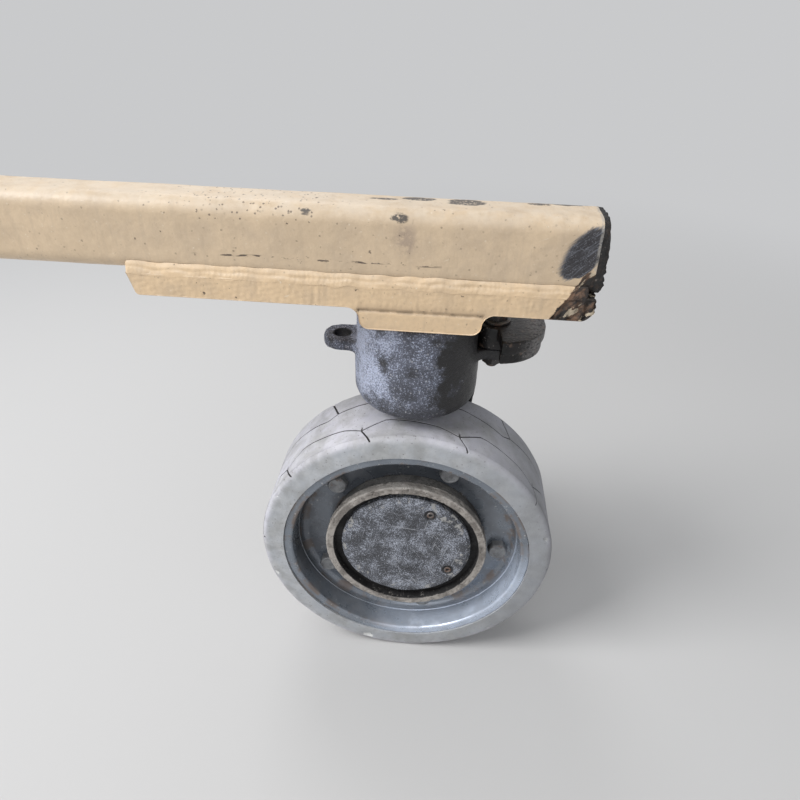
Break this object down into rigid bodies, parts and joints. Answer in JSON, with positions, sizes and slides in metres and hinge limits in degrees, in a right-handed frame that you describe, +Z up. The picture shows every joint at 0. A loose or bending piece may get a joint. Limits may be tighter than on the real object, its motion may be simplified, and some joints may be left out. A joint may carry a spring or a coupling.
{
  "type": "scissor lift front drive wheel station",
  "caption": "Steered drive wheel of a scissor lift with its knuckle, kingpin plate, tie rod end and the end of the chassis side rail.",
  "frame": {"origin": "on the side rail's inboard face, at its middle height and straight above the kingpin", "axes": "+X along the rail towards the machine's front, +Y inboard, +Z up"},
  "size_m": [0.5615, 0.255, 0.5475],
  "materials": {
    "cream_paint": "gloss",
    "worn_end": "matte",
    "bronze": "satin",
    "steel": "satin",
    "dark_steel": "matte",
    "forged_steel": "matte",
    "cast_iron": "rough",
    "motor_paint": "satin",
    "tyre_grey": "matte",
    "rim_grey": "satin",
    "hub_iron": "rough",
    "hub_ring_iron": "rough",
    "cap_iron": "satin",
    "bolt_zinc": "satin"
  },
  "bodies": {
    "chassis": {"side_rail": "cream_paint", "rail_end_cap": "worn_end", "kingpin_plate": "cream_paint", "plate_weld": "cream_paint", "kingpin_bush": "bronze"},
    "knuckle": {"knuckle_casting": "cast_iron", "kingpin": "steel", "kingpin_washer": "steel", "kingpin_bolt": "steel", "wheel_spindle": "steel", "drive_motor": "motor_paint", "motor_bolts": "steel", "link_pin": "dark_steel", "link_nut": "dark_steel"},
    "wheel": {"tyre": "tyre_grey", "wheel_rim": "rim_grey", "drive_hub": "hub_iron", "hub_ring": "hub_ring_iron", "hub_cap": "cap_iron", "cap_screws": "dark_steel", "wheel_bolts": "bolt_zinc"},
    "tie_rod": {"tie_rod_end": "forged_steel"}
  },
  "joints": [
    {"name": "knuckle_steer", "type": "hinge", "parent": "chassis", "child": "knuckle", "pos_m": [0, 0.018, -0.054], "axis": [0, 0, 1], "range_deg": [-45, 45]},
    {"name": "wheel_spin", "type": "hinge", "parent": "knuckle", "child": "wheel", "pos_m": [0, -0.002, -0.3535], "axis": [0, 1, 0], "continuous": true},
    {"name": "tie_rod_swing", "type": "hinge", "parent": "knuckle", "child": "tie_rod", "pos_m": [0.076, 0.018, -0.10295], "axis": [0, 0, 1], "range_deg": [-30, 30]}
  ]
}
